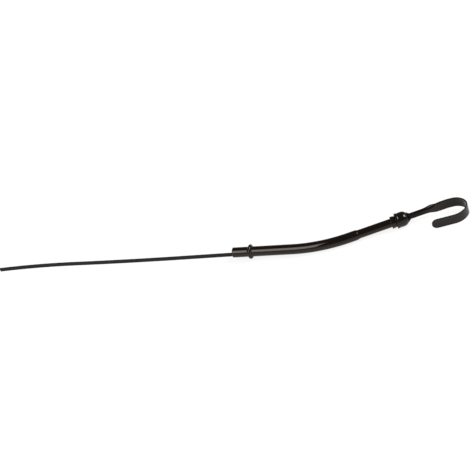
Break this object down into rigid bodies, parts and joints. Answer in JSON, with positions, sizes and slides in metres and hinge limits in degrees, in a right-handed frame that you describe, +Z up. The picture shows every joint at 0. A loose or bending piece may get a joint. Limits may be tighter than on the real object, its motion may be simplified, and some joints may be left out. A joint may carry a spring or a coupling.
{
  "type": "engine oil dipstick tube",
  "caption": "Black bent guide tube with a stop bead and a swaged neck, closed by a stamped cap on a hooked strap handle that carries a long flat dipstick blade.",
  "frame": {"origin": "the point on the tube's lower axis where the stop bead seats on the engine block", "axes": "+X runs up the tube along its lower axis as it lies, +Y is the side that the tube bends to, +Z is up from the floor that the assembly rests on; the plane of the bend is tilted by about 8 degrees from the floor"},
  "size_m": [0.5365, 0.0651, 0.0179],
  "materials": {
    "tube_paint": "gloss",
    "cap_paint": "gloss",
    "strap_paint": "semi-gloss",
    "blade_black": "satin",
    "seal_rubber": "matte",
    "rivet_steel": "satin"
  },
  "bodies": {
    "root": {"guide_tube": "tube_paint", "mouth_collar": "tube_paint", "cap": "cap_paint", "cap_seal": "seal_rubber", "cap_washer": "cap_paint", "handle": "strap_paint", "blade": "blade_black", "blade_rivet": "rivet_steel"}
  },
  "joints": []
}
